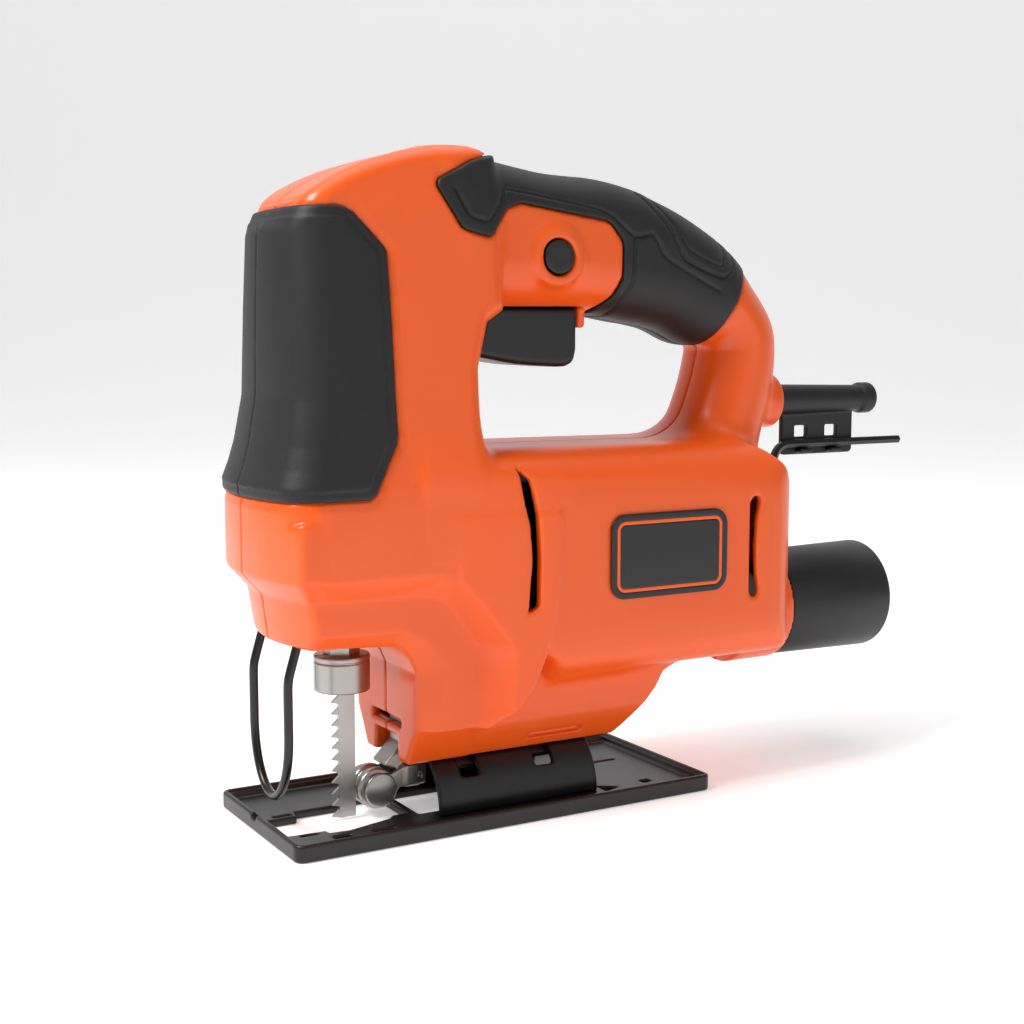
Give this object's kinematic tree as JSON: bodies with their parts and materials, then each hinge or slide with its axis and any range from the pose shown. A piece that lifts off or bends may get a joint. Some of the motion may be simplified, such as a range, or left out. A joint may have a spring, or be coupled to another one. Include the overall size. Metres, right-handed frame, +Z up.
{
  "type": "jigsaw",
  "caption": "Corded jigsaw with closed D handle, tilting open-front shoe, vertical blade and clamp, wire finger guard, rear dust tube and a hex key clipped under the cord sleeve.",
  "frame": {"origin": "centre of the shoe's underside, on the tool's centre plane", "axes": "+X cutting direction, +Y the tool's left, +Z up, away from the work"},
  "size_m": [0.2469, 0.0712, 0.1977],
  "materials": {
    "orange_plastic": "fine satin moulding",
    "black_rubber": "fine leather grain",
    "badge_plastic": "plain printed foil",
    "black_steel": "blackened",
    "shoe_paint": "satin powder coat",
    "bright_steel": "satin",
    "cast_metal": "sintered, lightly polished",
    "blade_steel": "ground",
    "bronze": "sintered",
    "gear_steel": "oiled",
    "cast_aluminium": "die cast",
    "lamination_steel": "varnished",
    "copper_wire": "enamelled",
    "copper_bar": "turned",
    "black_plastic": "satin",
    "bearing_steel": "polished",
    "carbon": null,
    "soft_rubber": "smooth"
  },
  "bodies": {
    "housing": {"left_housing": "orange_plastic", "right_housing": "orange_plastic", "left_front_pad": "black_rubber", "right_front_pad": "black_rubber", "left_grip_pad": "black_rubber", "right_grip_pad": "black_rubber", "left_badge": "badge_plastic", "right_badge": "badge_plastic", "housing_screws": "black_steel", "bevel_clamp": "bright_steel", "bevel_screw": "black_steel", "roller_axle": "bright_steel", "roller_bracket": "cast_metal", "plunger_guides": "bronze", "gear_case": "cast_aluminium", "gear_shaft": "bright_steel", "front_bearing": "bearing_steel", "rear_bearing": "bearing_steel", "stator_core": "lamination_steel", "field_coils": "copper_wire", "brush_holders": "copper_bar", "carbon_brushes": "carbon", "brush_springs": "bright_steel", "switch_body": "black_plastic", "strain_relief": "soft_rubber", "wire_guard": "black_steel"},
    "base": {"shoe": "shoe_paint", "bevel_saddle": "shoe_paint"},
    "blade_rod": {"blade": "blade_steel", "blade_clamp": "bright_steel", "clamp_screw": "black_steel", "plunger": "bright_steel", "yoke": "cast_metal"},
    "gear_wheel": {"gear": "gear_steel", "crank_pin": "bright_steel", "crank_roller": "bright_steel"},
    "armature": {"armature_shaft": "bright_steel", "armature_core": "lamination_steel", "armature_winding": "copper_wire", "commutator": "copper_bar", "cooling_fan": "black_plastic"},
    "guide_roller": {"roller": "bright_steel"},
    "trigger": {"trigger": "black_plastic"},
    "lock_on": {"lock_button": "black_plastic"},
    "dust_tube": {"dust_adaptor": "black_plastic"},
    "key": {"hex_key": "black_steel"}
  },
  "joints": [
    {"name": "bevel_tilt", "type": "hinge", "parent": "housing", "child": "base", "pos_m": [0, 0, 0.0025], "axis": [1, 0, 0], "range_deg": [-45, 45]},
    {"name": "blade_stroke", "type": "slide", "parent": "housing", "child": "blade_rod", "axis": [0, 0, 1], "range_m": [-0.018, 0]},
    {"name": "gear_spin", "type": "hinge", "parent": "housing", "child": "gear_wheel", "pos_m": [0.017, 0, 0.1022], "axis": [1, 0, 0], "continuous": true},
    {"name": "armature_spin", "type": "hinge", "parent": "housing", "child": "armature", "pos_m": [-0.04, 0, 0.075], "axis": [1, 0, 0], "continuous": true},
    {"name": "roller_spin", "type": "hinge", "parent": "housing", "child": "guide_roller", "pos_m": [0.0335, 0, 0.009], "axis": [0, 1, 0], "continuous": true},
    {"name": "trigger_pull", "type": "slide", "parent": "housing", "child": "trigger", "axis": [0, 0, 1], "range_m": [0, 0.005], "stiffness_N_per_m": 400, "springref_m": -0.004},
    {"name": "lock_press", "type": "slide", "parent": "housing", "child": "lock_on", "axis": [0, -1, 0], "range_m": [0, 0.003], "stiffness_N_per_m": 300, "springref_m": -0.003},
    {"name": "dust_tube_pull", "type": "slide", "parent": "housing", "child": "dust_tube", "axis": [-1, 0, 0], "range_m": [0, 0.03]},
    {"name": "key_pull", "type": "slide", "parent": "housing", "child": "key", "axis": [0, 1, 0], "range_m": [0, 0.03]}
  ],
  "couplings": [
    {"joint": "armature_spin", "follows": "gear_spin", "ratio": -7}
  ]
}
